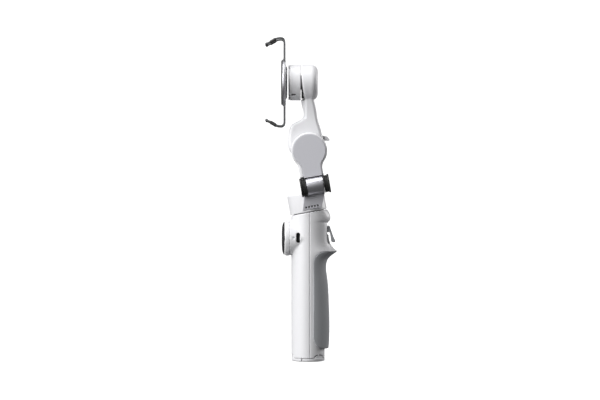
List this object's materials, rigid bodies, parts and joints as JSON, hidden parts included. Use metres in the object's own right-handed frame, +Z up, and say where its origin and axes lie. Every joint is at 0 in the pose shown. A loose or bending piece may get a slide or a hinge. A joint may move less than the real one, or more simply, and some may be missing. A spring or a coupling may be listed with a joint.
{
  "type": "phone gimbal stabilizer",
  "caption": "Handheld stabilizer with a folding arm, three motor axes, a magnetic phone clamp with sprung wire jaws, a telescopic rod and a tripod in the grip.",
  "frame": {"origin": "middle of the grip's flat foot, on the grip's axis", "axes": "+Z up the grip, -X towards the dial and the phone, +X towards the trigger, -Y the side with the charging socket and the fold hinge"},
  "size_m": [0.0667, 0.0546, 0.2968],
  "materials": {
    "white_shell": "satin",
    "cool_grey_plastic": "matte",
    "grip_rubber": "fine grain",
    "black_plastic": "gloss",
    "soft_black": "matte",
    "black_metal": "anodised",
    "satin_chrome": "satin",
    "steel": "satin",
    "aluminium": "satin",
    "iron_core": "laminated",
    "copper": "enamelled wire",
    "nickel_magnet": "plated",
    "battery_wrap": "matte",
    "board": "matte",
    "foot_plastic": "matte",
    "light": "frosted"
  },
  "bodies": {
    "handle": {"handle_front_shell": "white_shell", "handle_rear_shell": "white_shell", "grip_sleeve": "grip_rubber", "rod_sleeve": "black_plastic", "dial_bezel": "cool_grey_plastic", "charging_socket": "black_metal", "charge_light": "light", "battery_cells": "battery_wrap", "main_board": "board", "shell_screws": "steel", "trigger_pin": "steel"},
    "dial": {"dial_ring": "black_plastic"},
    "joystick_frame": {"joystick_yoke": "black_plastic"},
    "joystick": {"joystick_cap": "black_plastic"},
    "trigger": {"trigger_lever": "grip_rubber"},
    "rod_1": {"rod_stage_1": "satin_chrome"},
    "rod_2": {"rod_stage_2": "satin_chrome"},
    "rod_3": {"rod_stage_3": "satin_chrome"},
    "pan_mount": {"rod_stage_4": "satin_chrome", "pan_base": "black_metal", "pan_stator": "iron_core", "pan_coils": "copper", "pan_bearing": "steel"},
    "pan_head": {"pan_drum": "white_shell", "pan_magnets": "nickel_magnet", "neck_bracket": "cool_grey_plastic", "hinge_barrel": "satin_chrome"},
    "lower_arm": {"hinge_fork": "black_metal", "hinge_pin": "steel", "lower_arm_shell": "white_shell", "lower_arm_cover": "cool_grey_plastic", "tilt_hub": "aluminium", "tilt_stator": "iron_core", "tilt_coils": "copper", "tilt_bearing": "steel"},
    "upper_arm": {"tilt_drum": "aluminium", "tilt_magnets": "nickel_magnet", "upper_arm_shell": "white_shell", "parking_tab": "white_shell", "roll_rear_cap": "white_shell", "roll_stator": "iron_core", "roll_coils": "copper", "roll_bearing": "steel"},
    "roll_head": {"roll_drum": "white_shell", "roll_magnets": "nickel_magnet", "mount_plate": "white_shell", "mount_magnets": "nickel_magnet"},
    "clamp": {"clamp_body": "white_shell", "clamp_pad": "soft_black", "clamp_steel_ring": "steel"},
    "upper_jaw": {"upper_jaw_wire": "steel", "upper_jaw_sleeve": "soft_black"},
    "lower_jaw": {"lower_jaw_wire": "steel", "lower_jaw_sleeve": "soft_black"},
    "tripod_slider": {"tripod_column": "aluminium", "leg_pins": "steel"},
    "leg_1": {"tripod_leg_1": "foot_plastic"},
    "leg_2": {"tripod_leg_2": "foot_plastic"},
    "leg_3": {"tripod_leg_3": "foot_plastic"}
  },
  "joints": [
    {"name": "dial_turn", "type": "hinge", "parent": "handle", "child": "dial", "pos_m": [-0.0212, 0, 0.1125], "axis": [-1, 0, 0], "continuous": true},
    {"name": "joystick_nod", "type": "hinge", "parent": "handle", "child": "joystick_frame", "pos_m": [-0.017, 0, 0.1125], "axis": [0, 1, 0], "range_deg": [-8, 8], "stiffness_Nm_per_rad": 0.05},
    {"name": "joystick_sway", "type": "hinge", "parent": "joystick_frame", "child": "joystick", "pos_m": [-0.017, 0, 0.1125], "axis": [0, 0, 1], "range_deg": [-8, 8], "stiffness_Nm_per_rad": 0.05},
    {"name": "trigger_pull", "type": "hinge", "parent": "handle", "child": "trigger", "pos_m": [0.016, 0, 0.1216], "axis": [0, 1, 0], "range_deg": [0, 6], "stiffness_Nm_per_rad": 0.1},
    {"name": "rod_slide_1", "type": "slide", "parent": "handle", "child": "rod_1", "axis": [0, 0, 1], "range_m": [0, 0.05]},
    {"name": "rod_slide_2", "type": "slide", "parent": "rod_1", "child": "rod_2", "axis": [0, 0, 1], "range_m": [0, 0.05]},
    {"name": "rod_slide_3", "type": "slide", "parent": "rod_2", "child": "rod_3", "axis": [0, 0, 1], "range_m": [0, 0.05]},
    {"name": "rod_slide_4", "type": "slide", "parent": "rod_3", "child": "pan_mount", "axis": [0, 0, 1], "range_m": [0, 0.05]},
    {"name": "pan_turn", "type": "hinge", "parent": "pan_mount", "child": "pan_head", "pos_m": [0.0006, 0, 0.1362], "axis": [-0.1736, 0, 0.9848], "range_deg": [-160, 170]},
    {"name": "arm_fold", "type": "hinge", "parent": "pan_head", "child": "lower_arm", "pos_m": [0.0064, -0.0243, 0.16088], "axis": [0.9848, 0, 0.1736], "range_deg": [0, 180]},
    {"name": "tilt_turn", "type": "hinge", "parent": "lower_arm", "child": "upper_arm", "pos_m": [0.00103, 0, 0.19253], "axis": [0, 1, 0], "range_deg": [-75, 80]},
    {"name": "roll_turn", "type": "hinge", "parent": "upper_arm", "child": "roll_head", "pos_m": [-0.0064, 0, 0.2557], "axis": [-1, 0, 0], "range_deg": [-220, 40]},
    {"name": "clamp_release", "type": "slide", "parent": "roll_head", "child": "clamp", "axis": [-1, 0, 0], "range_m": [0, 0.03]},
    {"name": "jaw_open", "type": "slide", "parent": "clamp", "child": "upper_jaw", "axis": [0, 0, 1], "range_m": [-0.00375, 0.00625]},
    {"name": "lower_jaw_open", "type": "slide", "parent": "clamp", "child": "lower_jaw", "axis": [0, 0, -1], "range_m": [-0.00375, 0.00625]},
    {"name": "tripod_pull", "type": "slide", "parent": "handle", "child": "tripod_slider", "axis": [0, 0, -1], "range_m": [0, 0.05]},
    {"name": "leg_spread_1", "type": "hinge", "parent": "tripod_slider", "child": "leg_1", "pos_m": [0.00218, -0.00261, 0.0492], "axis": [-0.766, -0.6428, 0], "range_deg": [0, 42]},
    {"name": "leg_spread_2", "type": "hinge", "parent": "tripod_slider", "child": "leg_2", "pos_m": [0.00116, 0.00319, 0.0492], "axis": [0.9397, -0.342, 0], "range_deg": [0, 42]},
    {"name": "leg_spread_3", "type": "hinge", "parent": "tripod_slider", "child": "leg_3", "pos_m": [-0.00335, -0.00059, 0.0492], "axis": [-0.1736, 0.9848, 0], "range_deg": [0, 42]}
  ],
  "couplings": [
    {"joint": "lower_jaw_open", "follows": "jaw_open", "ratio": 1},
    {"joint": "leg_spread_1", "follows": "tripod_pull", "rad_per_m": 14.661},
    {"joint": "leg_spread_2", "follows": "tripod_pull", "rad_per_m": 14.661},
    {"joint": "leg_spread_3", "follows": "tripod_pull", "rad_per_m": 14.661}
  ]
}
